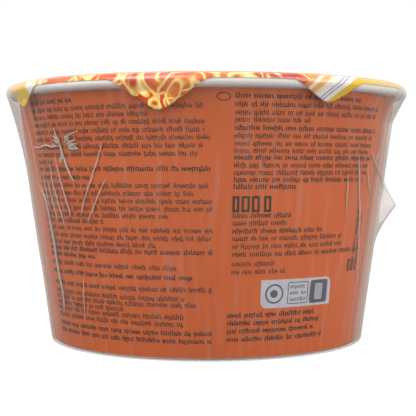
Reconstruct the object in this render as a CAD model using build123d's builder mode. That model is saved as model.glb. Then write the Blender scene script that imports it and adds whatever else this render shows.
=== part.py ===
from build123d import *

import os
from math import asin, atan2, cos, degrees, hypot, radians, sin, tan

# A sealed instant noodle cup: a tapered paper cup with a rolled rim, a printed paper
# wrap whose ends lap along one line, a printed lid folded down over the rim, and a
# clear shrink film around it all. The origin is the centre of the face it stands on,
# the printed side faces -Y, and angles run from -Y towards +X, seen from above.

# Driving dimensions, in millimetres and degrees.

# Cup
cup_height = 90.15            # foot of the cup to the crown of its rolled rim
foot_radius = 56.0            # outside of the paper wall at the foot
wall_taper = 8.0              # lean of the wall from the vertical
rim_overhang = 3.8            # how far the rolled rim stands out from the wall
roll_radius = 2.0             # section radius of the rolled rim
foot_ring_width = 2.6         # paper ring that the cup stands on
foot_recess = 4.0             # depth of the bottom above that ring
foot_rounding = 0.9           # rounding of the ring's outer edge

# Side wrap
wrap_paper = 0.3              # thickness of the printed wrap
wrap_foot_gap = 0.05          # from the film's rounding up to the wrap's lower edge
wrap_rim_gap = 0.25           # bare wall left between the wrap and the rolled rim
lap_angle = 62.0              # where the outer end of the wrap stops
lap_run = 30.0                # turn over which the outer end climbs onto the inner end

# Lid
lid_paper = 0.3               # thickness of the lid
lid_edge_drop = 1.8           # how far the lid's edge reaches below the crown
lid_edge_rounding = 5.0       # hollow rounding from that edge into a tab
tab_tuck = 1.3                # how much further than the film the tabs lean inwards
# Folded tabs: angle, width at the lid's edge, drop of the tip below the crown
lid_tabs = [
    (-60.0, 25.0, 8.8),
    (-12.0, 31.0, 11.9),
    (33.0, 27.0, 9.1),
    (123.0, 28.0, 10.2),
    (170.0, 30.0, 11.0),
    (-147.0, 27.0, 9.6),
]
tab_tip_rounding = 7.0        # rounding of each tab's tip

# Film
film = 0.25                   # thickness of the shrink film
film_touch_drop = 34.0        # from the crown to where the stretched film meets the wall
film_foot_rounding = 1.0      # rounding where the film turns under the foot
ear_angle = 85.0              # side on which the film's spare corner stands out
ear_low = 35.0                # lowest point of that corner
ear_high = 57.0               # its highest point
ear_tip_height = 48.4         # height of its tip
ear_reach = 6.0               # how far the tip stands out from the film's wall
ear_tip_rounding = 1.5        # rounding of the tip

# Clearances between one layer and the next
layer_gap = 0.05              # wrap on wall, lid on rim, film on lid
wrap_film_gap = 0.1           # between the lapped wrap and the film

# Heights and radii that follow from them
foot_z = film
crown_z = foot_z + cup_height
roll_z = crown_z - roll_radius
wall_slope = tan(radians(wall_taper))


def wall_radius(z):
    """Outside radius of the cup's paper wall at height z."""
    return foot_radius + (z - foot_z) * wall_slope


def wrap_radius(z):
    """Outside radius of the single layer of wrap at height z."""
    return wall_radius(z) + layer_gap + wrap_paper


def film_radius(z, inset=0.0):
    """Radius of the film where it lies along the wall, or of a line inset from it."""
    clear_of_lap = wrap_radius(z) + wrap_paper + wrap_film_gap
    return clear_of_lap + film - inset / cos(radians(wall_taper))


roll_centre = wall_radius(roll_z) + rim_overhang - roll_radius
lid_inner = roll_radius + layer_gap       # section radius of the lid's inner face
lid_outer = lid_inner + lid_paper
film_outer = lid_outer + layer_gap + film
film_top = roll_z + film_outer
film_touch_z = crown_z - film_touch_drop


def stretch_lean(inset=0.0):
    """Lean from the vertical of the film's line from the wall up to the rolled rim."""
    across = roll_centre - film_radius(film_touch_z, inset)
    up = roll_z - film_touch_z
    return degrees(atan2(across, up) + asin((film_outer - inset) / hypot(across, up)))


def on_roll(radius, lean):
    """Point on a circle about the roll's centre where a line that leans touches it."""
    return (
        roll_centre + radius * cos(radians(lean)),
        roll_z - radius * sin(radians(lean)),
    )


# The cup: a shut body with a rolled rim, a tapered wall and a recessed bottom
with BuildPart() as cup:
    with BuildSketch(Plane.XZ) as cup_section:
        with BuildLine():
            Polyline(
                (0, foot_z + foot_recess),
                (foot_radius - foot_ring_width, foot_z + foot_recess),
                (foot_radius - foot_ring_width, foot_z),
                (foot_radius, foot_z),
                (wall_radius(roll_z), roll_z),
                (roll_centre, roll_z),
                (roll_centre, crown_z),
                (0, crown_z),
                close=True,
            )
        make_face()
        foot_corner = cup_section.vertices().group_by(Axis.Y)[0].sort_by(Axis.X)[-1]
        fillet(foot_corner, foot_rounding)
        with Locations((roll_centre, roll_z)):
            Circle(roll_radius)
    revolve(axis=Axis.Z)
cup.part.label = "cup"


# The side wrap: one turn of paper that climbs by its own thickness before its end
wrap_low = film_foot_rounding + wrap_foot_gap
wrap_high = roll_z - roll_radius - wrap_rim_gap


def at_angle(radius, angle):
    """Point on a circle, with the angle measured from -Y towards +X."""
    return (radius * sin(radians(angle)), -radius * cos(radians(angle)))


def wrap_outline(z):
    """Outline of the wrap at height z: a circle, a climb and the step at its end."""
    inner = wrap_radius(z)
    outer = inner + wrap_paper
    climb = lap_angle - lap_run
    with BuildSketch(Plane.XY.offset(z)) as outline:
        with BuildLine():
            ThreePointArc(
                at_angle(inner, lap_angle),
                at_angle(inner, lap_angle + (360 - lap_run) / 2),
                at_angle(inner, climb),
            )
            ThreePointArc(
                at_angle(inner, climb),
                at_angle((inner + outer) / 2, climb + lap_run / 2),
                at_angle(outer, lap_angle),
            )
            Line(at_angle(outer, lap_angle), at_angle(inner, lap_angle))
        make_face()
    return outline.sketch


with BuildPart() as side_wrap:
    loft(sections=[wrap_outline(wrap_low), wrap_outline(wrap_high)], ruled=True)
    with BuildSketch(Plane.XZ) as wrap_bore:
        with BuildLine():
            Polyline(
                (0, wrap_low),
                (wall_radius(wrap_low) + layer_gap, wrap_low),
                (wall_radius(wrap_high) + layer_gap, wrap_high),
                (0, wrap_high),
                close=True,
            )
        make_face()
    revolve(axis=Axis.Z, mode=Mode.SUBTRACT)
side_wrap.part.label = "side_wrap"


# The lid: a sheet over the rim, its skirt cut back everywhere but at the folded tabs
tab_lean = stretch_lean() + tab_tuck
deepest_tab = max(drop for angle, width, drop in lid_tabs)
skirt_low = crown_z - deepest_tab - tab_tip_rounding
edge_z = crown_z - lid_edge_drop


def down_skirt(radius):
    """End of the skirt's straight part, for the face with this section radius."""
    start_x, start_z = on_roll(radius, tab_lean)
    return (start_x - (start_z - skirt_low) * tan(radians(tab_lean)), skirt_low)


with BuildPart() as lid:
    with BuildSketch(Plane.XZ):
        with BuildLine():
            centre = (roll_centre, roll_z)
            Line((0, roll_z + lid_inner), (roll_centre, roll_z + lid_inner))
            CenterArc(centre, lid_inner, -tab_lean, 90 + tab_lean)
            Line(on_roll(lid_inner, tab_lean), down_skirt(lid_inner))
            Line(down_skirt(lid_inner), down_skirt(lid_outer))
            Line(down_skirt(lid_outer), on_roll(lid_outer, tab_lean))
            CenterArc(centre, lid_outer, -tab_lean, 90 + tab_lean)
            Line((roll_centre, roll_z + lid_outer), (0, roll_z + lid_outer))
            Line((0, roll_z + lid_outer), (0, roll_z + lid_inner))
        make_face()
    revolve(axis=Axis.Z)

    # What is kept of the skirt: a shallow edge all round, and a rounded flap per tab
    reach = roll_centre + film_outer
    with BuildPart(mode=Mode.PRIVATE) as kept:
        with BuildSketch(Plane.XY.offset(edge_z)):
            Circle(reach)
        extrude(amount=film_top - edge_z)
        for angle, width, drop in lid_tabs:
            outward = Plane(
                origin=(0, 0, 0),
                x_dir=(cos(radians(angle)), sin(radians(angle)), 0),
                z_dir=(sin(radians(angle)), -cos(radians(angle)), 0),
            )
            with BuildSketch(outward.offset(wall_radius(skirt_low))) as flap:
                with BuildLine():
                    tip_centre = (0, crown_z - drop + tab_tip_rounding)
                    CenterArc(tip_centre, tab_tip_rounding, 0, 360)
                    Line((-width / 2, edge_z), (width / 2, edge_z))
                make_hull()
                with Locations((0, edge_z)):
                    Rectangle(2 * width, film_top - edge_z, align=(Align.CENTER, Align.MIN))
                hollows = flap.vertices().filter_by(
                    lambda v: abs(v.Y - edge_z) < layer_gap and abs(v.X) < 0.6 * width
                )
                fillet(hollows, lid_edge_rounding)
            extrude(amount=reach - wall_radius(skirt_low))
    add(kept.part, mode=Mode.INTERSECT)
lid.part.label = "lid"


# The film: a thin closed bag drawn tight from the rim to the wall, with one spare corner
def film_envelope(inset):
    """Half section of the bag's outside, or of its inside when inset by the film."""
    lean = stretch_lean(inset)
    with BuildSketch(Plane.XZ, mode=Mode.PRIVATE) as envelope:
        with BuildLine():
            foot = (film_radius(inset, inset), inset)
            touch = (film_radius(film_touch_z, inset), film_touch_z)
            shoulder = on_roll(film_outer - inset, lean)
            Line((0, inset), foot)
            Line(foot, touch)
            Line(touch, shoulder)
            CenterArc((roll_centre, roll_z), film_outer - inset, -lean, 90 + lean)
            Line((roll_centre, film_top - inset), (0, film_top - inset))
            Line((0, film_top - inset), (0, inset))
        make_face()
        foot_corner = envelope.vertices().group_by(Axis.Y)[0].sort_by(Axis.X)[-1]
        fillet(foot_corner, film_foot_rounding - inset)
    return envelope.sketch


with BuildPart() as film_bag:
    revolve(film_envelope(0.0), axis=Axis.Z)
    revolve(film_envelope(film), axis=Axis.Z, mode=Mode.SUBTRACT)
    ear_plane = Plane(
        origin=(0, 0, 0),
        x_dir=(sin(radians(ear_angle)), -cos(radians(ear_angle)), 0),
        z_dir=(-cos(radians(ear_angle)), -sin(radians(ear_angle)), 0),
    )
    with BuildSketch(ear_plane) as ear:
        with BuildLine():
            Polyline(
                (film_radius(ear_low, film / 2), ear_low),
                (film_radius(ear_tip_height) + ear_reach, ear_tip_height),
                (film_radius(ear_high, film / 2), ear_high),
                close=True,
            )
        make_face()
        fillet(ear.vertices().sort_by(Axis.X)[-1], ear_tip_rounding)
    extrude(amount=film, both=True)
film_bag.part.label = "film"


os.makedirs("parts", exist_ok=True)
export_step(cup.part, "parts/cup.step")
export_step(side_wrap.part, "parts/side_wrap.step")
export_step(lid.part, "parts/lid.step")
export_step(film_bag.part, "parts/film.step")
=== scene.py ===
"""Finishes a sealed instant noodle cup: paper cup, printed wrap, printed lid and clear shrink film.

Angles run from -Y, the information side, towards +X, seen from above.
"""

import random
from math import asin, atan2, cos, degrees, exp, hypot, pi, radians, sin, tan

import bmesh
import bpy
from mathutils import Matrix, Vector, noise


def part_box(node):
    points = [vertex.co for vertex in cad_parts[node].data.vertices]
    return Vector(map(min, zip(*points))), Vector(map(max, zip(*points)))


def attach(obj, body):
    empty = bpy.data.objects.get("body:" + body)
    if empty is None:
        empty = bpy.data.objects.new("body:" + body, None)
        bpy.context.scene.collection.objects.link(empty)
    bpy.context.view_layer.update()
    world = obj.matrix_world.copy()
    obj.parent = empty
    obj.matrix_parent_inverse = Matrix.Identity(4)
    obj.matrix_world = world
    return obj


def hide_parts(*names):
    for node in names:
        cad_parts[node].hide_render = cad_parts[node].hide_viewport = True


bl_info = {
    "name": "Instant Noodle Cup",
    "version": (1, 0, 0),
    "blender": (4, 5, 0),
    "location": "3D View > Sidebar > Noodle Cup",
    "description": "Builds the print, the lid, the shrink film and the finishes of a sealed noodle cup",
    "category": "Object",
}

MM = 0.001
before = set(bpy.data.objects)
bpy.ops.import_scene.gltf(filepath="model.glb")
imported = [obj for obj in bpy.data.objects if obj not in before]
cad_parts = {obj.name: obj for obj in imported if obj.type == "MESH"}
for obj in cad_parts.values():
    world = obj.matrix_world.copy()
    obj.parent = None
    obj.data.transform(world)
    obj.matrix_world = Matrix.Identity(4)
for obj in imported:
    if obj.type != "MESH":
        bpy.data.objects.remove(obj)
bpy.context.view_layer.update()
cup_low, cup_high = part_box("cup")
wrap_low, wrap_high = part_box("side_wrap")
film_low, film_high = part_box("film")


# ---------------------------------------------------------------- settings


def length(name, description, default):
    """A size in metres that the user may change."""
    return bpy.props.FloatProperty(
        name=name, description=description, default=default, min=0.0, unit="LENGTH", precision=5
    )


def turn(name, description, default):
    """An angle that the user may change, given here in degrees."""
    return bpy.props.FloatProperty(
        name=name, description=description, default=radians(default), subtype="ANGLE"
    )


def colour(name, description, default):
    """A linear colour that the user may change."""
    return bpy.props.FloatVectorProperty(
        name=name, description=description, default=default, size=3, min=0.0, max=1.0, subtype="COLOR"
    )


class CupSizes(bpy.types.PropertyGroup):
    """Sizes that the pieces are shaped from."""

    wall_taper: turn("Wall taper", "Lean of the wall from the vertical", 8.0)
    roll_radius: length("Rim roll", "Section radius of the rolled rim", 2.0 * MM)
    film_stand_off: length("Film stand-off", "From the wrap to the outside of the film", 0.65 * MM)
    lid_inset: length("Lid inset", "From the outside of the film to the outside of the lid", 0.3 * MM)
    lid_paper: length("Lid paper", "Thickness of the lid", 0.3 * MM)
    lap_angle: turn("Lap", "Where the outer end of the wrap stops", 62.0)
    lap_run: turn("Lap run", "Turn over which the wrap climbs onto itself", 30.0)
    lap_step: length("Lap step", "How far the wrap has climbed at its end", 0.3 * MM)
    ink_lift: length("Ink lift", "Height of the print above the wrap", 0.05 * MM)
    ink_depth: length("Ink depth", "Thickness of the print", 0.03 * MM)
    ear_angle: turn("Ear", "Side on which the film's spare corner stands out", 85.0)
    ear_height: length("Ear height", "Height of the tip of the film's spare corner", 48.4 * MM)
    ear_reach: length("Ear reach", "How far the tip stands out from the wall", 6.0 * MM)


class CupColours(bpy.types.PropertyGroup):
    """Colours of the finishes."""

    board: colour("Board", "White coated board of the cup", (0.80, 0.79, 0.77))
    orange: colour("Orange", "Ground colour of the wrap", (0.62, 0.128, 0.022))
    ink: colour("Ink", "Dark print", (0.050, 0.026, 0.018))
    grey: colour("Grey", "Pale grey print", (0.56, 0.56, 0.62))
    yellow: colour("Yellow", "Yellow fields of the lid", (0.80, 0.52, 0.02))
    cream: colour("Cream", "Cream stripes of the lid", (0.85, 0.74, 0.52))
    soup: colour("Soup", "Red ground under the noodles", (0.66, 0.075, 0.008))
    noodle: colour("Noodle", "Light crest of a noodle", (0.88, 0.56, 0.12))
    haze: colour("Haze", "Light that folded film scatters", (0.62, 0.57, 0.51))


def sizes():
    return bpy.context.scene.cup_sizes


def colours():
    return bpy.context.scene.cup_colours


# ---------------------------------------------------------------- shape of the pack


def place(radius, angle, height):
    """Point at a radius and height, at an angle from -Y towards +X."""
    return Vector((radius * sin(angle), -radius * cos(angle), height))


def angle_of(point):
    return atan2(point.x, -point.y)


def smooth(t):
    t = min(max(t, 0.0), 1.0)
    return t * t * (3 - 2 * t)


def wrap_radius(height):
    """Outside radius of the single layer of wrap."""
    return wrap_high.x - (wrap_high.z - height) * tan(sizes().wall_taper)


def wrap_surface(angle, height):
    """Outside radius of the wrap, with the climb towards its lap."""
    s = sizes()
    climbed = (degrees(angle - s.lap_angle) + degrees(s.lap_run)) / degrees(s.lap_run)
    climbed = climbed if 0.0 <= climbed <= 1.0 else 0.0
    return wrap_radius(height) + climbed * s.lap_step


def roll_centre():
    """Radius and height of the centre of the rolled rim's section."""
    s = sizes()
    return cup_high.x - s.roll_radius, cup_high.z - s.roll_radius


# Height in millimetres at which the stretched film meets the wall, by angle in degrees
TOUCH_HEIGHTS = [
    (-180, 64), (-140, 67), (-100, 60), (-75, 56), (-45, 58), (-20, 66), (0, 70),
    (30, 73), (60, 78), (95, 78), (120, 70), (150, 62), (180, 64),
]  # fmt: skip


def touch_height(angle):
    at = degrees(angle)
    for (a0, h0), (a1, h1) in zip(TOUCH_HEIGHTS, TOUCH_HEIGHTS[1:]):
        if a0 <= at <= a1:
            return (h0 + (h1 - h0) * smooth((at - a0) / (a1 - a0))) * MM
    return TOUCH_HEIGHTS[0][1] * MM


def stretch_line(angle, inset):
    """Touch height, wall radius there, section radius over the rim and lean of the film's line."""
    s = sizes()
    centre_r, centre_z = roll_centre()
    section = film_high.x - centre_r - inset
    low = touch_height(angle)
    wall = wrap_radius(low) + s.film_stand_off - inset
    across, up = centre_r - wall, centre_z - low
    lean = atan2(across, up) + asin(section / hypot(across, up))
    return low, wall, section, lean


def skin_radius(angle, height, inset=0.0):
    """Radius of the smooth film, or of a layer inset from it, below the rim's crown."""
    centre_r, centre_z = roll_centre()
    low, wall, section, lean = stretch_line(angle, inset)
    if height <= low:
        return wrap_radius(height) + sizes().film_stand_off - inset
    edge_r = centre_r + section * cos(lean)
    edge_z = centre_z - section * sin(lean)
    if height >= edge_z:
        return centre_r + (section**2 - min(abs(height - centre_z), section) ** 2) ** 0.5
    along = (height - low) / (edge_z - low)
    sag = 0.9 * MM * (edge_z - low) / (30 * MM)
    return wall + (edge_r - wall) * along - sag * 4 * along * (1 - along)


# ---------------------------------------------------------------- mesh helpers


def finish_piece(name, bm, materials, replaced=()):
    """Makes a mesh object of a bmesh, riding on the pack."""
    mesh = bpy.data.meshes.new(name)
    bm.to_mesh(mesh)
    bm.free()
    for material in materials:
        mesh.materials.append(material)
    piece = bpy.data.objects.new(name, mesh)
    bpy.context.scene.collection.objects.link(piece)
    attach(piece, "root")
    if replaced:
        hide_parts(*replaced)
    return piece


def shade_smooth(bm):
    for face in bm.faces:
        face.smooth = True


def merge_into(target, bm):
    """Adds one bmesh to another and frees it."""
    mesh = bpy.data.meshes.new("part")
    bm.to_mesh(mesh)
    bm.free()
    target.from_mesh(mesh)
    bpy.data.meshes.remove(mesh)


def spun(points, steps):
    """A closed skin of revolution from (radius, height) points whose ends are on the axis."""
    bm = bmesh.new()
    verts = [bm.verts.new((0.0, -r, z)) for r, z in points]
    edges = [bm.edges.new(pair) for pair in zip(verts, verts[1:])]
    bmesh.ops.spin(
        bm, geom=verts + edges, cent=(0, 0, 0), axis=(0, 0, 1), angle=2 * pi, steps=steps, use_merge=True
    )
    bmesh.ops.remove_doubles(bm, verts=bm.verts, dist=1e-6)
    bmesh.ops.recalc_face_normals(bm, faces=bm.faces)
    shade_smooth(bm)
    return bm


# ---------------------------------------------------------------- materials


class Value:
    """A socket whose Python operators add Math nodes."""

    def __init__(self, finish, socket):
        self.finish = finish
        self.socket = socket

    def math(self, operation, *others, clamp=False):
        settings = {"operation": operation, "use_clamp": clamp}
        inputs = dict(enumerate((self, *others)))
        return self.finish.node("ShaderNodeMath", settings, inputs)

    def __add__(self, other):
        return self.math("ADD", other)

    __radd__ = __add__

    def __sub__(self, other):
        return self.math("SUBTRACT", other)

    def __rsub__(self, other):
        return self * -1.0 + other

    def __mul__(self, other):
        return self.math("MULTIPLY", other)

    __rmul__ = __mul__

    def __pow__(self, other):
        return self.math("POWER", other)

    def band(self, low, high, soft):
        """1 between low and high, fading over soft on each side."""
        rise = self.step(low - soft / 2, low + soft / 2)
        fall = self.step(high - soft / 2, high + soft / 2)
        return rise - fall

    def step(self, low, high):
        """0 below low and 1 above high, smooth between."""
        settings = {"interpolation_type": "SMOOTHSTEP"}
        return self.finish.node("ShaderNodeMapRange", settings, {0: self, 1: low, 2: high})


class Finish:
    """A material being put together from nodes."""

    def __init__(self, name):
        self.material = bpy.data.materials.new(name)
        self.material.use_nodes = True
        self.tree = self.material.node_tree
        self.tree.nodes.clear()

    def node(self, kind, settings=None, inputs=None, output=0):
        """Any node: its settings first, a ramp's stops among them, then its sockets' values or links."""
        made = self.tree.nodes.new(kind)
        for key, value in (settings or {}).items():
            if key == "stops":
                ramp = made.color_ramp.elements
                while len(ramp) < len(value):
                    ramp.new(0.5)
                for element, (position, rgb) in zip(ramp, value):
                    element.position = position
                    element.color = (*rgb, 1.0)
            else:
                setattr(made, key, value)
        for key, value in (inputs or {}).items():
            if isinstance(value, Value):
                self.tree.links.new(value.socket, made.inputs[key])
            else:
                made.inputs[key].default_value = value
        return Value(self, made.outputs[output] if made.outputs else None)

    def mix(self, factor, first, second):
        """Colour between first and second."""
        inputs = {0: factor, 6: rgba(first), 7: rgba(second)}
        return self.node("ShaderNodeMix", {"data_type": "RGBA"}, inputs, output=2)

    def noise(self, vector, scale, detail=3.0, rough=0.5, distortion=0.0, output=0):
        inputs = {"Scale": scale, "Detail": detail, "Roughness": rough, "Distortion": distortion}
        if vector is not None:
            inputs["Vector"] = vector
        return self.node("ShaderNodeTexNoise", {}, inputs, output=output)

    def place(self):
        """Object coordinates, in metres."""
        return self.node("ShaderNodeTexCoord", output=3)

    def split(self, vector):
        """The three numbers of a vector."""
        made = self.tree.nodes.new("ShaderNodeSeparateXYZ")
        self.tree.links.new(vector.socket, made.inputs[0])
        return [Value(self, out) for out in made.outputs]

    def join(self, x, y, z):
        return self.node("ShaderNodeCombineXYZ", {}, {0: x, 1: y, 2: z})

    def stretch(self, vector, scale):
        """A vector with each of its numbers scaled."""
        return self.node("ShaderNodeVectorMath", {"operation": "MULTIPLY"}, {0: vector, 1: scale})

    def bump(self, height, depth, strength=1.0):
        inputs = {"Strength": strength, "Distance": depth, "Height": height}
        return self.node("ShaderNodeBump", {}, inputs)

    def principled(self, inputs):
        return self.node("ShaderNodeBsdfPrincipled", {}, inputs)

    def done(self, shader):
        self.node("ShaderNodeOutputMaterial", {}, {"Surface": shader})
        return self.material


def rgba(value):
    return value if isinstance(value, Value) else (*value, 1.0)


def board_finish():
    """White coated board with a faint fibre relief."""
    f = Finish("white_board")
    at = f.place()
    fibre = f.noise(f.stretch(at, (1.0, 1.0, 0.35)), 900.0, detail=4.0)
    cloud = f.noise(at, 40.0)
    white = colours().board
    tint = f.mix(cloud, [c * 0.96 for c in white], white)
    return f.done(
        f.principled(
            {
                "Base Color": tint,
                "Roughness": fibre * 0.12 + 0.36,
                "Normal": f.bump(fibre, 0.02 * MM),
            }
        )
    )


def unrolled(f):
    """Angle in degrees round the pack, and height in millimetres."""
    x, y, z = f.split(f.place())
    angle = x.math("ARCTAN2", y * -1.0) * (180 / pi)
    return angle, z * 1000.0


def noodles(f, x, y, scale, seed):
    """Looping strands over a red ground, for a flat place given in millimetres."""
    c = colours()
    ground_noise = f.noise(f.join(x * (1 / 9.0), y * (1 / 9.0), seed), 1.0, detail=4.0, rough=0.6)
    ground = f.node(
        "ShaderNodeValToRGB",
        {
            "stops": [
                (0.30, (c.soup[0] * 0.55, c.soup[1] * 0.4, c.soup[2] * 0.6)),
                (0.50, tuple(c.soup)),
                (0.66, (0.86, 0.24, 0.02)),
                (0.80, (0.95, 0.45, 0.06)),
            ]
        },
        {0: ground_noise},
    )
    result = ground
    for layer in range(2):
        across = f.join(x * (1 / scale), y * (1 / scale), seed + 3.7 * (layer + 1))
        field = f.noise(across, 1.0, detail=0.0, rough=0.0, distortion=0.6)
        strands = (field * (5.0 + layer)).math("FRACT")
        ridge = 1.0 - (strands - 0.5).math("ABSOLUTE") * 2.0
        body = ridge.step(0.56, 0.66)
        strand = f.node(
            "ShaderNodeValToRGB",
            {
                "stops": [
                    (0.52, (0.74, 0.16, 0.01)),
                    (0.66, (0.86, 0.40, 0.03)),
                    (0.80, tuple(c.noodle)),
                    (0.99, (0.95, 0.80, 0.42)),
                ]
            },
            {0: ridge},
        )
        patch = f.noise(f.join(x * (1 / 14.0), y * (1 / 14.0), seed + 9.0 * layer), 1.0, detail=1.0)
        shown = body * patch.step(0.42, 0.50)
        result = f.mix(shown, result, strand)
    return result


def wrap_finish():
    """Orange print on the wrap, with a plain front of broad fields on its far side and a painted shadow
    line along the lap.
    """
    f = Finish("wrap_print")
    c = colours()
    angle, height = unrolled(f)
    at = f.place()
    cloud = f.noise(at, 22.0, detail=2.0)
    grain = f.noise(at, 1500.0, detail=2.0)
    orange = f.mix(cloud, [v * 0.93 for v in c.orange], [min(v * 1.06, 1.0) for v in c.orange])

    # The far side: a yellow sweep, a cream blank banner and a bowl-shaped field of noodles
    back = (angle.math("ABSOLUTE") * -1.0 + 180.0) * (angle.math("SIGN"))
    wave = (back * (pi / 95)).math("SINE") * 7.0 + 26.0
    yellow = (wave - height).step(-0.25, 0.25) * back.band(-82.0, 82.0, 0.5)
    ground = f.mix(yellow, orange, c.yellow)
    rim = (wave - height).band(-2.2, 0.0, 0.3) * back.band(-82.0, 82.0, 0.5)
    ground = f.mix(rim, ground, c.cream)
    picture = noodles(f, back * 1.1, height, 9.0, 4.0)
    oval = ((back * (1 / 44.0)) ** 2.0 + ((height - 24.0) * (1 / 17.0)) ** 2.0).math("SQRT")
    ground = f.mix(1.0 - oval.step(1.03, 1.05), ground, c.cream)
    ground = f.mix(1.0 - oval.step(0.97, 0.99), ground, picture)
    banner_x = (back.math("ABSOLUTE") - 38.0).math("MAXIMUM", 0.0) * 1.1
    banner_y = ((height - 62.0).math("ABSOLUTE") - 6.0).math("MAXIMUM", 0.0)
    banner = (banner_x * banner_x + banner_y * banner_y).math("SQRT")
    ground = f.mix(1.0 - banner.step(5.3, 5.6), ground, c.soup)
    ground = f.mix(1.0 - banner.step(4.1, 4.4), ground, c.cream)

    # The dark line along the outer end: painted shadow of the lap's step, standing also for the cut edge of
    # the board
    lap = degrees(sizes().lap_angle)
    radius = height * tan(sizes().wall_taper) + wrap_radius(0.0) / MM
    from_lap = (angle - lap).math("ABSOLUTE") * radius * (pi / 180)
    edge = from_lap.step(0.28, 0.42)
    ground = f.mix(edge, (0.12, 0.045, 0.02), ground)
    return f.done(
        f.principled(
            {
                "Base Color": ground,
                "Roughness": grain * 0.1 + 0.42,
                "Normal": f.bump(grain, 0.01 * MM),
            }
        )
    )


def lid_finish():
    """Printed lid: a slanting band of noodles between stripes, on yellow fields."""
    f = Finish("lid_print")
    c = colours()
    uv = f.node("ShaderNodeUVMap", {"uv_map": "sheet"})
    u, v, _ = f.split(uv)
    x = (u - 0.5) * 200.0
    y = (v - 0.5) * 200.0
    slant = x - y * 0.33
    picture = noodles(f, x, y, 10.0, 0.0)

    dots_x = ((x + y) * 1.9).math("SINE")
    dots_y = ((x - y) * 1.9).math("SINE")
    halftone = (dots_x * dots_y).step(0.1, 0.5)
    yellow = f.mix(halftone * 0.35, c.yellow, (0.62, 0.36, 0.01))
    ground = yellow
    stripes = [
        (-47.0, 65.3, (0.82, 0.80, 0.77)),
        (-43.5, 60.2, c.cream),
        (-41.0, 59.0, (0.78, 0.42, 0.12)),
        (-39.0, 57.0, c.cream),
        (-37.5, 55.6, (0.72, 0.30, 0.06)),
    ]
    for low, high, tone in stripes:
        ground = f.mix(slant.band(low, high, 0.35), ground, tone)
    for line in (62.0, 63.2):
        ground = f.mix(slant.band(line, line + 0.45, 0.2), ground, (0.42, 0.30, 0.50))
    ragged = f.noise(f.join(x * 0.2, y * 0.2, 2.0), 1.0, detail=1.0) * 1.2
    ground = f.mix((slant + ragged).band(-36.2, 54.4, 0.5), ground, picture)

    # Blank banner across the middle of the top
    banner_x = (x.math("ABSOLUTE") - 33.0).math("MAXIMUM", 0.0)
    banner_y = ((y - 6.0).math("ABSOLUTE") - 9.0).math("MAXIMUM", 0.0)
    banner = (banner_x * banner_x + banner_y * banner_y).math("SQRT")
    ground = f.mix(1.0 - banner.step(7.2, 7.5), ground, c.soup)
    ground = f.mix(1.0 - banner.step(5.6, 5.9), ground, c.cream)
    relief = f.noise(f.join(x * 0.06, y * 0.06, 0.0), 1.0, detail=2.0)
    return f.done(
        f.principled(
            {
                "Base Color": ground,
                "Roughness": relief * 0.1 + 0.18,
                "Coat Weight": 0.4,
                "Normal": f.bump(relief, 0.25 * MM),
            }
        )
    )


def ink_finish(name, tone, roughness=0.45):
    """Flat print with a faint unevenness."""
    f = Finish(name)
    at = f.place()
    cloud = f.noise(at, 260.0, detail=2.0)
    tint = f.mix(cloud, [v * 0.85 for v in tone], [min(v * 1.12, 1.0) for v in tone])
    return f.done(f.principled({"Base Color": tint, "Roughness": cloud * 0.1 + roughness}))


def film_finish(name, clear_haze, edge_haze):
    """Clear film that mirrors a little, and scatters light at its folds and where it is seen edge on."""
    f = Finish(name)
    at = f.place()
    ripple = f.noise(f.stretch(at, (1.0, 1.0, 0.25)), 130.0, detail=2.0)
    fine = f.noise(f.stretch(at, (1.0, 1.0, 0.12)), 700.0, detail=2.0)
    normal = f.bump(ripple + fine * 0.15, 0.35 * MM)
    gloss = f.node("ShaderNodeBsdfGlossy", {}, {"Color": (1, 1, 1, 1), "Roughness": 0.12, "Normal": normal})
    clear = f.node("ShaderNodeBsdfTransparent", {}, {"Color": (1, 1, 1, 1)})
    fresnel = f.node("ShaderNodeFresnel", {}, {"IOR": 1.45, "Normal": normal})
    skin = f.node("ShaderNodeMixShader", {}, {0: fresnel * 0.55, 1: clear, 2: gloss})
    haze = f.node("ShaderNodeAttribute", {"attribute_name": "haze"}, output=2)
    facing = f.node("ShaderNodeLayerWeight", {}, {"Blend": 0.5}, output=1)
    veil = (haze + clear_haze + (facing ** 5.0) * edge_haze).math("MINIMUM", 0.95)
    milky = f.principled({"Base Color": rgba(colours().haze), "Roughness": 0.35, "Normal": normal})
    return f.done(f.node("ShaderNodeMixShader", {}, {0: veil, 1: skin, 2: milky}))


# ---------------------------------------------------------------- print on the wrap


def block(bm, left, right, bottom, top):
    """A thin closed block of print, laid flat: x along the line, z up, y outwards."""
    centre = Vector(((left + right) / 2, 0.0, (bottom + top) / 2))
    size = Matrix.Diagonal((right - left, 1.0, top - bottom, 1.0))
    bmesh.ops.create_cube(bm, size=1.0, matrix=Matrix.Translation(centre) @ size)


def lay_on_wrap(bm, start_angle, base_height):
    """Bends flat print round the wrap. Flat x and z are in metres, y runs from -0.5 to 0.5 of the ink."""
    s = sizes()
    for v in bm.verts:
        height = base_height + v.co.z
        angle = start_angle + v.co.x / wrap_radius(height)
        lift = s.ink_lift + (v.co.y - 0.5) * s.ink_depth
        v.co = place(wrap_surface(angle, height) + lift, angle, height)


def slice_lengthways(bm, low, high, step):
    """Cuts flat print into strips, so that it can bend."""
    at = low + step
    while at < high:
        geom = bm.verts[:] + bm.edges[:] + bm.faces[:]
        bmesh.ops.bisect_plane(bm, geom=geom, plane_co=(at, 0, 0), plane_no=(1, 0, 0))
        at += step


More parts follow.
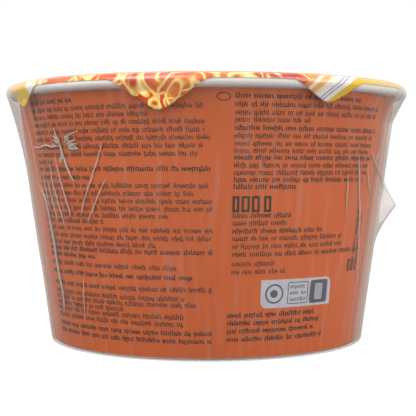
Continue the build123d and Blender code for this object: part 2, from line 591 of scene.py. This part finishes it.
def text_marks(rng, width, x_height, weight):
    """Plain upright strokes and short dashes that stand for words, as (left, right, bottom, top)."""
    marks = []
    stem = 0.27 * weight * x_height / 1.2
    gap = 0.36 * x_height / 1.2
    at = 0.0
    while at < width:
        for _ in range(rng.randint(3, 12)):
            low = -0.3 * x_height if rng.random() < 0.1 else 0.0
            top = x_height * (1.38 if rng.random() < 0.22 else 1.0)
            marks.append((at, at + stem, low, top))
            if rng.random() < 0.62:
                dash = rng.choice((0.0, 0.42, 0.82)) * x_height
                marks.append((at + stem, at + stem + gap, dash, dash + 0.19 * weight * x_height))
            at += stem + gap
            if at > width:
                break
        at += 0.75 * x_height
    return marks


def text_line(target, rng, start, height, width, x_height=1.2, weight=1.0):
    """One line of marks. Angles are in degrees and sizes in millimetres."""
    bm = bmesh.new()
    for left, right, low, top in text_marks(rng, width, x_height, weight):
        block(bm, left * MM, right * MM, low * MM, top * MM)
    lay_on_wrap(bm, radians(start), height * MM)
    merge_into(target, bm)


# Lines of the left column: drop from the line above, share of the column's width, weight
LEFT_LINES = [
    (0.0, 0.34, 1.5), (2.6, 0.96, 1.0), (2.4, 0.72, 1.0), (2.4, 0.97, 1.0), (2.5, 0.97, 1.0),
    (2.4, 1.0, 1.0), (2.5, 0.96, 1.1), (2.5, 0.95, 1.1), (2.4, 0.14, 1.0), (2.3, 1.0, 1.5),
    (2.7, 0.40, 1.5), (2.6, 0.98, 1.0), (2.5, 0.92, 1.0), (2.4, 1.0, 1.0), (2.4, 1.0, 1.0),
    (2.3, 0.80, 1.0), (2.1, 0.46, 1.1), (2.4, 1.0, 1.0), (2.5, 1.0, 1.0), (2.3, 0.73, 1.0),
    (2.1, 1.0, 1.4), (2.2, 0.38, 1.5), (2.8, 0.83, 1.0), (3.1, 0.92, 1.5), (3.9, 1.0, 1.1),
    (2.9, 0.87, 1.0), (2.0, 0.94, 1.0), (2.0, 0.53, 1.0), (1.9, 0.86, 1.0), (2.3, 0.87, 1.1),
    (3.0, 1.0, 1.4), (2.5, 1.0, 1.4),
]  # fmt: skip

# Lines of the right column, in the same terms
RIGHT_LINES = [
    (0.0, 0.78, 1.7), (2.6, 0.98, 1.2), (2.5, 0.96, 1.0), (2.2, 0.42, 1.0), (2.5, 0.98, 1.4),
    (2.4, 0.97, 1.0), (2.4, 0.97, 1.0), (2.2, 0.94, 1.0), (2.1, 0.97, 1.4), (2.4, 0.95, 1.1),
    (2.3, 0.94, 1.0), (2.2, 0.90, 1.3), (2.2, 0.36, 1.5),
]  # fmt: skip

RIGHT_LOWER_LINES = [
    (0.0, 0.34, 1.2), (2.4, 0.32, 1.0), (2.5, 0.58, 1.2), (2.4, 0.75, 1.0), (2.5, 0.76, 1.0),
    (2.5, 0.97, 1.2), (3.1, 0.25, 1.0), (2.5, 0.33, 1.0),
]  # fmt: skip

RIGHT_FOOT_LINES = [(0.0, 0.82, 1.5), (2.5, 0.88, 1.5), (2.6, 0.82, 1.5), (2.7, 0.95, 1.5)]


def text_column(target, rng, start, top, lines, full_width):
    height = top
    for drop, share, weight in lines:
        height -= drop
        width = full_width * (wrap_radius(height * MM) / wrap_high.x) * share
        text_line(target, rng, start, height, width, weight=weight)


def build_text(target):
    """All the small print of the information side."""
    rng = random.Random(7)
    text_column(target, rng, -60.5, 82.8, LEFT_LINES, 74.0)
    text_column(target, rng, 7.5, 83.2, RIGHT_LINES, 61.0)
    text_column(target, rng, 7.5, 46.2, RIGHT_LOWER_LINES, 61.0)
    text_column(target, rng, 6.5, 14.3, RIGHT_FOOT_LINES, 44.0)


def build_figures(target):
    """Plain upright blocks where the larger print stands."""
    rows = [
        (7.3, 48.0, 5.0, (2.2, 2.6, 2.6, 0.0, 2.4), 0.75),
        (51.0, 27.3, 4.0, (1.5, 1.5, 1.5), 0.55),
    ]
    for start, height, tall, widths, stroke in rows:
        bm = bmesh.new()
        at = 0.0
        for width in widths:
            if width > stroke * 2:
                block(bm, at * MM, (at + stroke) * MM, 0.0, tall * MM)
                block(bm, (at + width - stroke) * MM, (at + width) * MM, 0.0, tall * MM)
                block(bm, (at + stroke) * MM, (at + width - stroke) * MM, 0.0, stroke * MM)
                block(bm, (at + stroke) * MM, (at + width - stroke) * MM, (tall - stroke) * MM, tall * MM)
            elif width:
                block(bm, at * MM, (at + width) * MM, 0.0, tall * MM)
            at += width + 0.7
        lay_on_wrap(bm, radians(start), height * MM)
        merge_into(target, bm)


def build_upright_lines(target):
    """The two narrow lines of print that run up the wrap beside the lap."""
    rng = random.Random(21)
    for start, low, high, weight in ((53.3, 29.0, 48.0, 1.2), (55.6, 31.0, 46.0, 0.8)):
        bm = bmesh.new()
        for left, right, bottom, top in text_marks(rng, high - low, 1.1, weight):
            block(bm, bottom * MM, top * MM, left * MM, right * MM)
        lay_on_wrap(bm, radians(start), low * MM)
        merge_into(target, bm)


def rounded_panel(width, height, corners, segments=6):
    """Flat closed panel, its lower left corner at the start; corners holds the four radii."""
    bm = bmesh.new()
    points = [(0, 0), (width, 0), (width, height), (0, height)]
    verts = [bm.verts.new((x * MM, -0.5, z * MM)) for x, z in points]
    bm.faces.new(verts)
    for vert, radius in zip(verts, corners):
        if radius:
            bmesh.ops.bevel(
                bm,
                geom=[vert],
                offset=radius * MM,
                offset_type="OFFSET",
                affect="VERTICES",
                segments=segments,
                profile=0.5,
                material=-1,
            )
    return bm


def thicken_flat(bm):
    """Turns a flat face at y = -0.5 into a closed slab up to y = 0.5."""
    made = bmesh.ops.extrude_face_region(bm, geom=bm.faces[:])
    verts = [g for g in made["geom"] if isinstance(g, bmesh.types.BMVert)]
    bmesh.ops.translate(bm, verts=verts, vec=(0, 1.0, 0))
    bmesh.ops.recalc_face_normals(bm, faces=bm.faces)


def lay_panel(target, bm, start, height, width, lift_layers=0):
    """Slices, thickens and bends a flat panel onto the wrap, and joins it to the target."""
    slice_lengthways(bm, 0.0, width * MM, 1.5 * MM)
    thicken_flat(bm)
    for v in bm.verts:
        v.co.y += lift_layers * 1.2
    lay_on_wrap(bm, radians(start), height * MM)
    merge_into(target, bm)


def ring_panel(radius_x, radius_z, line):
    """Flat oval ring, centred on its start plus its half width."""
    bm = bmesh.new()
    bmesh.ops.create_circle(bm, cap_ends=True, radius=1.0, segments=40)
    turned = Matrix.Rotation(pi / 2, 4, "X")
    size = Matrix.Diagonal((radius_x * MM, 1.0, radius_z * MM, 1.0))
    shift = Matrix.Translation((radius_x * MM, -0.5, radius_z * MM))
    bmesh.ops.transform(bm, matrix=shift @ size @ turned, verts=bm.verts)
    if line:
        outer = bm.faces[:]
        bmesh.ops.inset_region(bm, faces=outer, thickness=line * MM, use_boundary=True)
        bmesh.ops.delete(bm, geom=outer, context="FACES")
    return bm


# ---------------------------------------------------------------- folds of the film

# Mean radius of the film in millimetres, which turns an arc into an angle
FOLD_RADIUS = 65.0

# Folds of the film: width and height in millimetres, then (angle in degrees, height) points
FOLDS = [
    (0.9, 0.30, [(-46.8, 74.9), (-45.8, 69.0), (-44.1, 62.8), (-41.0, 56.9)]),
    (0.6, 0.20, [(-49.3, 65.7), (-47.8, 58.6), (-45.1, 48.3), (-44.7, 45.7)]),
    (0.6, 0.20, [(-52.5, 64.6), (-51.9, 56.6), (-49.8, 48.4), (-48.2, 41.6)]),
    (0.5, 0.15, [(-57.8, 60.8), (-57.0, 54.0), (-56.0, 48.0)]),
    (0.5, 0.15, [(-54.9, 58.0), (-53.7, 51.1), (-52.0, 44.0)]),
    (
        1.3,
        0.25,
        [(-61.9, 56.5), (-58.3, 51.0), (-56.6, 40.0), (-56.0, 30.5), (-54.6, 18.0), (-56.0, 12.2)],
    ),
    (0.5, 0.15, [(-29.4, 69.8), (-33.3, 60.5), (-39.2, 49.3)]),
    (0.45, 0.12, [(-29.3, 58.4), (-33.2, 51.6), (-37.8, 43.4)]),
    (0.4, 0.12, [(-37.8, 51.5), (-40.1, 46.2)]),
    (0.4, 0.10, [(-41.8, 26.7), (-43.7, 10.1)]),
    (0.7, 0.35, [(-37.0, 73.5), (-40.4, 72.5), (-41.7, 71.5), (-41.1, 69.9), (-37.7, 67.7)]),
    (0.5, 0.15, [(45.1, 60.2), (45.8, 54.0), (46.5, 46.7)]),
    (0.9, 0.20, [(49.4, 65.8), (51.0, 59.2), (54.2, 46.4), (56.2, 36.2), (58.9, 20.9)]),
    (0.6, 0.15, [(55.0, 63.9), (57.5, 56.4), (61.2, 52.3)]),
    (0.8, 0.35, [(56.5, 67.0), (59.3, 64.4), (64.0, 61.0), (68.6, 58.5), (76.0, 54.5)]),
    (0.5, 0.25, [(63.5, 68.0), (61.5, 66.0), (60.4, 63.6)]),
    (0.5, 0.35, [(-60.6, 69.2), (-57.0, 68.7), (-53.0, 69.4), (-50.0, 68.7), (-46.0, 69.2)]),
]  # fmt: skip


def fold(target, points, width, tall, seed, jitter):
    """A narrow closed ridge along points on the film, tapering to both ends."""
    pieces = 6 * (len(points) - 1)
    bm = bmesh.new()
    bmesh.ops.create_cone(bm, cap_ends=True, segments=6, radius1=1.0, radius2=1.0, depth=1.0)
    long_edges = [e for e in bm.edges if abs(e.verts[0].co.z - e.verts[1].co.z) > 0.5]
    bmesh.ops.subdivide_edges(bm, edges=long_edges, cuts=pieces - 1, use_grid_fill=True)
    for v in bm.verts:
        t = v.co.z + 0.5
        angle, height = along(points, t)
        wander = jitter * noise.noise((t * 9.0, seed, 0.3))
        angle += wander
        ahead = along(points, min(t + 0.02, 1.0))
        behind = along(points, max(t - 0.02, 0.0))
        run_a = radians(ahead[0] - behind[0]) * FOLD_RADIUS
        run_z = ahead[1] - behind[1]
        size = hypot(run_a, run_z) or 1.0
        taper = max(4 * t * (1 - t), 0.02) ** 0.6
        side = v.co.x * width / 2 * taper
        out = v.co.y * tall * taper
        shift_a = degrees(side * run_z / size / FOLD_RADIUS)
        shift_z = -side * run_a / size
        a = radians(angle + shift_a)
        h = (height + shift_z) * MM
        v.co = place(film_radius(a, h) + out * MM, a, h)
    bmesh.ops.recalc_face_normals(bm, faces=bm.faces)
    shade_smooth(bm)
    merge_into(target, bm)


def along(points, t):
    """Place at share t of a route, on a smooth curve through its points."""
    count = len(points) - 1
    at = min(max(t, 0.0), 1.0) * count
    index = min(int(at), count - 1)
    u = at - index
    p0 = points[max(index - 1, 0)]
    p1 = points[index]
    p2 = points[index + 1]
    p3 = points[min(index + 2, count)]
    return [
        0.5 * (2 * b + (c - a) * u + (2 * a - 5 * b + 4 * c - d) * u**2 + (3 * b - a - 3 * c + d) * u**3)
        for a, b, c, d in zip(p0, p1, p2, p3)
    ]


def ear_rise(angle, height):
    """How far the film's spare corner lifts it from the wall."""
    s = sizes()
    up = (height - s.ear_height) / MM
    tall = (1 - up / 9.4) ** 1.2 if 0 <= up < 9.4 else (1 + up / 14.4) ** 1.6 if -14.4 < up < 0 else 0.0
    off = degrees(angle - s.ear_angle)
    flank = smooth((off + 17) / 17) ** 1.6 if off <= 0 else exp(-((off / 1.6) ** 2))
    return s.ear_reach * tall * flank


def film_radius(angle, height):
    """Outside radius of the film with its creases and its spare corner."""
    smooth_r = skin_radius(angle, height)
    at = degrees(angle)
    ribs = noise.noise((at * 0.22, height * 18.0, 1.0)) + 0.5 * noise.noise((at * 0.6, height * 22.0, 5.0))
    depth = 0.16 * MM
    stretched = smooth((height - touch_height(angle)) / (8 * MM)) * smooth((88 * MM - height) / (8 * MM))
    knot = exp(-(((at + 45) / 9) ** 2) - ((height / MM - 68) / 8) ** 2)
    pull = -0.8 * MM * knot * (0.6 + 0.4 * noise.noise((at * 0.9, height * 900, 2.0)))
    least_stand_off = 0.45 * MM
    moved = ribs * depth * (0.6 + 2.0 * stretched) + pull * stretched + ear_rise(angle, height)
    return max(smooth_r + moved, wrap_radius(height) + least_stand_off)


def build_film_skin():
    """The film: a closed skin from the foot over the rim, drawn onto the wall."""
    centre_r, centre_z = roll_centre()
    section = film_high.x - centre_r
    foot = 1.0 * MM
    foot_r = skin_radius(0.0, foot)
    points = [(0.0, film_low.z)]
    points += [(foot_r * share - foot, film_low.z) for share in (0.25, 0.5, 0.75, 0.9, 0.97)]
    points += [
        (foot_r - foot + foot * sin(t), film_low.z + foot - foot * cos(t))
        for t in (0.0, pi / 8, pi / 4, 3 * pi / 8)
    ]
    rings = 104
    side = [foot + (centre_z - foot) * i / rings for i in range(rings + 1)]
    points += [(skin_radius(0.0, z), z) for z in side]
    points += [
        (centre_r + section * cos(t), centre_z + section * sin(t))
        for t in (i * pi / 16 for i in range(1, 9))
    ]
    shares = (0.96, 0.9, 0.8, 0.65, 0.5, 0.35, 0.2, 0.1, 0.0)
    points += [(centre_r * share, film_high.z) for share in shares]
    bm = spun(points, 760)
    haze = bm.verts.layers.float.new("haze")
    for v in bm.verts:
        angle = angle_of(v.co)
        height = v.co.z
        if foot * 0.98 <= height <= centre_z:
            v.co = place(film_radius(angle, height), angle, height)
        v[haze] = film_haze(degrees(angle), height / MM)
    return bm


def film_haze(angle, height):
    """How milky the film is: loose streaks, more beside the lap, and less in a patch to the left where it
    lies tight.
    """
    streak = noise.noise((angle * 0.5, height * 0.05, 3.0))
    streak = max(streak, 0.0) * 0.10
    fresh = exp(-(((angle + 38) / 7) ** 2) - ((height - 58) / 14) ** 2)
    beside_lap = smooth((angle - 60) / 6) * smooth((96 - angle) / 12) * 0.22
    return max(streak + beside_lap - 0.04 * fresh, 0.0)


# ---------------------------------------------------------------- lid

# Folded tabs of the lid: angle in degrees, then width and drop in millimetres
TABS = [
    (-60.0, 25.0, 8.8), (-12.0, 31.0, 11.9), (33.0, 27.0, 9.1),
    (123.0, 28.0, 10.2), (170.0, 30.0, 11.0), (-147.0, 27.0, 9.6),
]  # fmt: skip


def skirt_length(angle):
    """How far the lid reaches past the crown, along its own surface."""
    edge = 3.2
    past_tip = 1.2
    over_roll = 1.9
    blend = 0.6
    best = edge + 0.25 * noise.noise((degrees(angle) * 0.05, 0.0, 7.0))
    for at, width, drop in TABS:
        off = degrees(angle) - at
        off = (off + 180) % 360 - 180
        across = abs(radians(off)) * 72.2
        tip = drop + over_roll
        slope = (tip - edge + past_tip) / (width / 2)
        reach = tip + past_tip - slope * hypot(across, past_tip / slope * 1.6)
        best = 0.5 * (best + reach + hypot(best - reach, blend))
    return best * MM


def lid_point(angle, run):
    """Point of the lid's outer face, run metres along it from the crown."""
    s = sizes()
    centre_r, centre_z = roll_centre()
    _, _, section, lean = stretch_line(angle, s.lid_inset)
    lean += radians(1.0)
    arc = section * (pi / 2 + lean)
    if run <= 0:
        return centre_r + run, centre_z + section
    if run <= arc:
        return centre_r + section * sin(run / section), centre_z + section * cos(run / section)
    past = run - arc
    return (
        centre_r + section * cos(lean) - past * sin(lean),
        centre_z - section * sin(lean) - past * cos(lean),
    )


def build_lid_mesh():
    """The lid: a disc over the rim whose skirt is as long as the tabs at each angle."""
    centre_r, centre_z = roll_centre()
    flat = [0.0, 0.12, 0.25, 0.4, 0.55, 0.7, 0.82, 0.9, 0.95, 0.98, 1.0]
    skirt_rings = 14
    points = [(centre_r * share, centre_z) for share in flat]
    points += [(centre_r + i * MM, centre_z) for i in range(1, skirt_rings + 1)]
    bm = spun_open(points, 540)
    sheet = bm.loops.layers.uv.new("sheet")
    flat_places = {}
    for v in bm.verts:
        radius = hypot(v.co.x, v.co.y)
        angle = angle_of(v.co)
        run = (radius - centre_r) / (skirt_rings * MM) * skirt_length(angle)
        run = radius - centre_r if radius <= centre_r else run
        r, z = lid_point(angle, run)
        flat_places[v] = (centre_r + run, angle)
        v.co = place(r, angle, z + lid_relief(r, angle, run))
    for face in bm.faces:
        for loop in face.loops:
            reach, angle = flat_places[loop.vert]
            loop[sheet].uv = (0.5 + reach * sin(angle) / 0.2, 0.5 - reach * cos(angle) / 0.2)
    return bm


def lid_relief(radius, angle, run):
    """Slight dish and unevenness of the taut paper."""
    if run > 0:
        return 0.0
    inside = smooth(-run / (9 * MM))
    wave = noise.noise((radius * 30 * cos(angle), radius * 30 * sin(angle), 0.0))
    return -inside * (0.1 + 0.08 * wave) * MM


def spun_open(points, steps):
    """A skin of revolution from the axis out to an open edge."""
    bm = bmesh.new()
    verts = [bm.verts.new((0.0, -r, z)) for r, z in points]
    edges = [bm.edges.new(pair) for pair in zip(verts, verts[1:])]
    bmesh.ops.spin(
        bm, geom=verts + edges, cent=(0, 0, 0), axis=(0, 0, 1), angle=2 * pi, steps=steps, use_merge=True
    )
    bmesh.ops.remove_doubles(bm, verts=bm.verts, dist=1e-6)
    for face in bm.faces:
        if face.normal.z < 0:
            face.normal_flip()
    shade_smooth(bm)
    return bm


# ---------------------------------------------------------------- operators


class CUP_OT_finish_board(bpy.types.Operator):
    """Gives the white paper cup its coated board"""

    bl_idname = "noodle_cup.finish_board"
    bl_label = "Finish Cup Board"

    def execute(self, context):
        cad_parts["cup"].data.materials.clear()
        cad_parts["cup"].data.materials.append(board_finish())
        return {"FINISHED"}


class CUP_OT_print_wrap(bpy.types.Operator):
    """Prints the side wrap's fields of colour"""

    bl_idname = "noodle_cup.print_wrap"
    bl_label = "Print Side Wrap"

    def execute(self, context):
        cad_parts["side_wrap"].data.materials.clear()
        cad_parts["side_wrap"].data.materials.append(wrap_finish())
        return {"FINISHED"}


class CUP_OT_print_text(bpy.types.Operator):
    """Lays the small dark print on the information side"""

    bl_idname = "noodle_cup.print_text"
    bl_label = "Print Small Text"

    def execute(self, context):
        bm = bmesh.new()
        build_text(bm)
        build_upright_lines(bm)
        finish_piece("small_print", bm, [ink_finish("dark_ink", colours().ink)])
        bm = bmesh.new()
        build_figures(bm)
        lay_panel(bm, ring_panel(2.2, 1.35, 0.3), 2.6, 82.2, 4.4)
        finish_piece("large_print", bm, [ink_finish("dark_ink_large", colours().ink)])
        return {"FINISHED"}


class CUP_OT_print_label(bpy.types.Operator):
    """Lays the grey label with its plain ring, box and tile"""

    bl_idname = "noodle_cup.print_label"
    bl_label = "Print Label"

    def execute(self, context):
        grey = bmesh.new()
        lay_panel(grey, rounded_panel(27.4, 9.2, (2.2, 0, 2.4, 0)), 16.8, 17.0, 27.4)
        finish_piece("label_ground", grey, [ink_finish("pale_grey_print", colours().grey)])
        dark = bmesh.new()
        lay_panel(dark, ring_panel(3.2, 3.2, 0.55), 18.3, 18.4, 6.4, 1)
        lay_panel(dark, ring_panel(1.3, 1.3, 0.0), 20.0, 20.3, 2.6, 1)
        lay_panel(dark, rounded_panel(7.6, 7.6, (0.8, 0.8, 0.8, 0.8)), 34.4, 17.8, 7.6, 1)
        frame_bm = rounded_panel(7.9, 7.2, (0.5, 0.5, 0.5, 0.5))
        outer = frame_bm.faces[:]
        bmesh.ops.inset_region(frame_bm, faces=outer, thickness=0.28 * MM, use_boundary=True)
        bmesh.ops.delete(frame_bm, geom=outer, context="FACES")
        lay_panel(dark, frame_bm, 26.0, 18.0, 7.9, 1)
        rng = random.Random(5)
        for row in range(3):
            text_line(dark, rng, 26.9, 18.9 + row * 2.1, 6.2, x_height=1.0, weight=1.2)
        finish_piece("label_marks", dark, [ink_finish("label_ink", (0.10, 0.10, 0.12))])
        pale = bmesh.new()
        lay_panel(pale, rounded_panel(3.4, 5.4, (0.5, 0.5, 0.5, 0.5)), 36.3, 18.9, 3.4, 2)
        finish_piece("label_tile", pale, [ink_finish("tile_print", (0.42, 0.42, 0.46))])
        return {"FINISHED"}


class CUP_OT_build_lid(bpy.types.Operator):
    """Folds the printed lid over the rim"""

    bl_idname = "noodle_cup.build_lid"
    bl_label = "Build Lid"

    def execute(self, context):
        papers = [lid_finish(), board_finish()]
        lid = finish_piece("lid_sheet", build_lid_mesh(), papers, ["lid"])
        wall = lid.modifiers.new("paper", "SOLIDIFY")
        wall.thickness = sizes().lid_paper
        wall.offset = -1.0
        wall.material_offset = 1
        wall.material_offset_rim = 1
        return {"FINISHED"}


class CUP_OT_build_film(bpy.types.Operator):
    """Draws the clear film over the pack, with its folds"""

    bl_idname = "noodle_cup.build_film"
    bl_label = "Build Film"

    def execute(self, context):
        clear = film_finish("clear_film", 0.01, 0.9)
        finish_piece("film_skin", build_film_skin(), [clear], ["film"])
        folds = bmesh.new()
        for index, (width, tall, points) in enumerate(FOLDS):
            fold(folds, points, width, tall, index, 0.35)
        rng = random.Random(12)
        for index in range(16):
            turned = rng.uniform(0, 2 * pi)
            start = (-44.5 + 2.0 * cos(turned), 68.5 + 2.0 * sin(turned))
            reach = rng.uniform(3.0, 7.0)
            end = (-44.5 + reach * cos(turned), 68.5 + reach * sin(turned))
            middle = ((start[0] + end[0]) / 2 + rng.uniform(-0.5, 0.5), (start[1] + end[1]) / 2)
            fold(folds, [start, middle, end], rng.uniform(0.5, 1.0), 0.3, index, 0.5)
        for index in range(46):
            start = rng.uniform(100, 285)
            start = start - 360 if start > 180 else start
            top = rng.uniform(35, 72)
            bottom = max(top - rng.uniform(10, 38), 6)
            lean = rng.uniform(-5, 5)
            points = [(start, top), (start + lean * 0.6, (top + bottom) / 2), (start + lean, bottom)]
            fold(folds, points, rng.uniform(0.35, 0.8), rng.uniform(0.1, 0.25), index, 0.4)
        finish_piece("film_folds", folds, [film_finish("folded_film", 0.42, 0.3)])
        return {"FINISHED"}


class CUP_OT_set_stage(bpy.types.Operator):
    """Sets the pale floor, the soft light and the camera"""

    bl_idname = "noodle_cup.set_stage"
    bl_label = "Set Stage"

    def execute(self, context):
        scene = context.scene
        scene.view_settings.view_transform = "Standard"
        set_world(scene)
        set_floor()
        set_lamps()
        set_camera(scene)
        return {"FINISHED"}


def set_world(scene):
    """White behind the pack, and a softer white as light."""
    world = bpy.data.worlds.new("studio")
    world.use_nodes = True
    tree = world.node_tree
    tree.nodes.clear()
    path = tree.nodes.new("ShaderNodeLightPath")
    light = tree.nodes.new("ShaderNodeBackground")
    light.inputs[0].default_value = (1.0, 0.99, 0.97, 1.0)
    light.inputs[1].default_value = 0.95
    seen = tree.nodes.new("ShaderNodeBackground")
    seen.inputs[0].default_value = (1.0, 1.0, 1.0, 1.0)
    seen.inputs[1].default_value = 1.0
    mix = tree.nodes.new("ShaderNodeMixShader")
    out = tree.nodes.new("ShaderNodeOutputWorld")
    tree.links.new(path.outputs["Is Camera Ray"], mix.inputs[0])
    tree.links.new(light.outputs[0], mix.inputs[1])
    tree.links.new(seen.outputs[0], mix.inputs[2])
    tree.links.new(mix.outputs[0], out.inputs[0])
    scene.world = world


def set_floor():
    """A wide pale floor that meets the backdrop without a line."""
    bm = bmesh.new()
    bmesh.ops.create_circle(bm, cap_ends=True, radius=6.0, segments=64)
    mesh = bpy.data.meshes.new("floor")
    bm.to_mesh(mesh)
    bm.free()
    f = Finish("pale_floor")
    path = f.node("ShaderNodeLightPath")
    surface = f.node("ShaderNodeBsdfDiffuse", {}, {"Color": (0.28, 0.28, 0.28, 1.0)})
    glow = f.node("ShaderNodeEmission", {}, {"Color": (1, 1, 1, 1), "Strength": 0.76})
    lit = f.node("ShaderNodeAddShader", {}, {0: surface, 1: glow})
    mesh.materials.append(
        f.done(f.node("ShaderNodeMixShader", {}, {0: path, 1: surface, 2: lit}))
    )
    floor = bpy.data.objects.new("floor", mesh)
    bpy.context.scene.collection.objects.link(floor)


def set_lamps():
    """Two large soft lamps, above and to the left, and a weaker one to the right."""
    lamps = [
        ("key", (-0.55, -0.75, 0.85), 0.9, 11.0),
        ("fill", (0.8, -0.6, 0.5), 0.9, 5.5),
        ("top", (0.0, 0.2, 1.2), 0.9, 3.0),
    ]
    for name, at, size, power in lamps:
        data = bpy.data.lights.new(name, "AREA")
        data.shape = "DISK"
        data.size = size
        data.energy = power
        lamp = bpy.data.objects.new(name, data)
        lamp.location = at
        lamp.rotation_euler = (Vector((0, 0, 0.045)) - Vector(at)).to_track_quat("-Z", "Y").to_euler()
        bpy.context.scene.collection.objects.link(lamp)


def set_camera(scene):
    """A long lens in front of the information side, just above the middle of the pack."""
    data = bpy.data.cameras.new("camera")
    data.lens = 88.8
    data.sensor_width = 36.0
    data.clip_start = 0.01
    camera = bpy.data.objects.new("camera", data)
    camera.location = (0.0, -0.3816, 0.0605)
    camera.rotation_euler = (radians(90.0 - 2.01), 0.0, radians(-0.084))
    scene.collection.objects.link(camera)
    scene.camera = camera


STEPS = ["set_stage", "finish_board", "print_wrap", "print_text", "print_label", "build_lid", "build_film"]


class CUP_PT_panel(bpy.types.Panel):
    """Lists the steps that finish the cup"""

    bl_label = "Noodle Cup"
    bl_idname = "CUP_PT_panel"
    bl_space_type = "VIEW_3D"
    bl_region_type = "UI"
    bl_category = "Noodle Cup"

    def draw(self, context):
        for step in STEPS:
            self.layout.operator("noodle_cup." + step)
        for group in (context.scene.cup_sizes, context.scene.cup_colours):
            for name in group.__annotations__:
                self.layout.prop(group, name)


CLASSES = [
    CupSizes,
    CupColours,
    CUP_OT_set_stage,
    CUP_OT_finish_board,
    CUP_OT_print_wrap,
    CUP_OT_print_text,
    CUP_OT_print_label,
    CUP_OT_build_lid,
    CUP_OT_build_film,
    CUP_PT_panel,
]


def register():
    for cls in CLASSES:
        bpy.utils.register_class(cls)
    bpy.types.Scene.cup_sizes = bpy.props.PointerProperty(type=CupSizes)
    bpy.types.Scene.cup_colours = bpy.props.PointerProperty(type=CupColours)


def unregister():
    del bpy.types.Scene.cup_colours
    del bpy.types.Scene.cup_sizes
    for cls in reversed(CLASSES):
        bpy.utils.unregister_class(cls)


def main():
    register()
    for step in STEPS:
        getattr(bpy.ops.noodle_cup, step)()
    bpy.context.view_layer.update()


if __name__ == "__main__":
    main()
